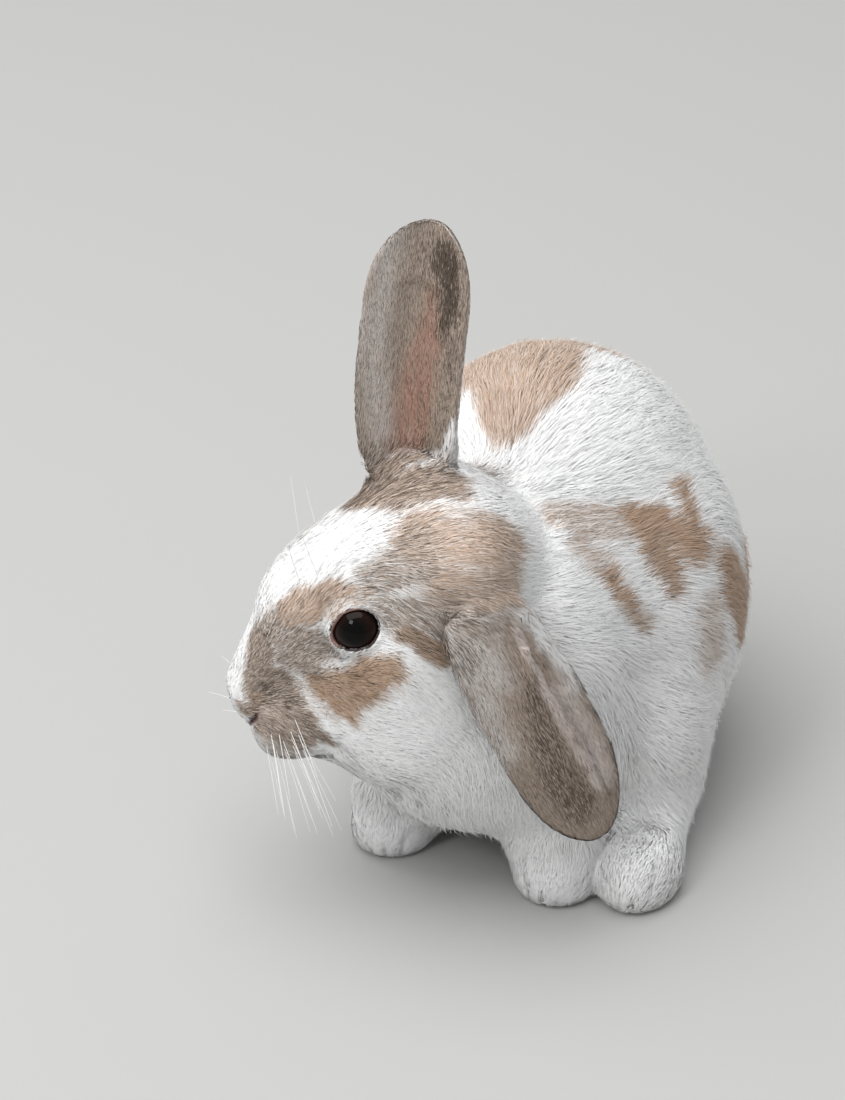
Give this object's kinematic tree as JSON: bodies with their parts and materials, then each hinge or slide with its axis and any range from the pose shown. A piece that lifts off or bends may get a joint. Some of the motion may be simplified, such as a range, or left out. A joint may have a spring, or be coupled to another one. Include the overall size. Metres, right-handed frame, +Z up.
{
  "type": "rabbit model",
  "caption": "Life-size still model of a young half-lop rabbit, crouching, head turned to its right, one ear up and one hanging.",
  "frame": {"origin": "on the floor, under the middle of the whole animal's box", "axes": "+Z up, -Y the way the body faces, +X towards the animal's left side"},
  "size_m": [0.1398, 0.197, 0.2088],
  "materials": {
    "coat_white": "soft white fur",
    "coat_fawn": "soft fawn fur with darker tips",
    "coat_smoke": "short grey-brown fur",
    "eye": "wet, very dark brown",
    "eyelid": "bare dark skin",
    "claw": "translucent horn",
    "whisker": "fine white bristle"
  },
  "bodies": {
    "root": {"head": "coat_white", "muzzle": "coat_fawn", "neck": "coat_fawn", "trunk": "coat_white", "tail": "coat_white", "ear_left": "coat_smoke", "ear_right": "coat_smoke", "eye_left": "eye", "eye_right": "eye", "forepaw_left": "coat_white", "foreleg_left": "coat_white", "forepaw_right": "coat_white", "foreleg_right": "coat_white", "hind_foot_left": "coat_white", "thigh_left": "coat_fawn", "hind_foot_right": "coat_white", "thigh_right": "coat_fawn"}
  },
  "joints": []
}
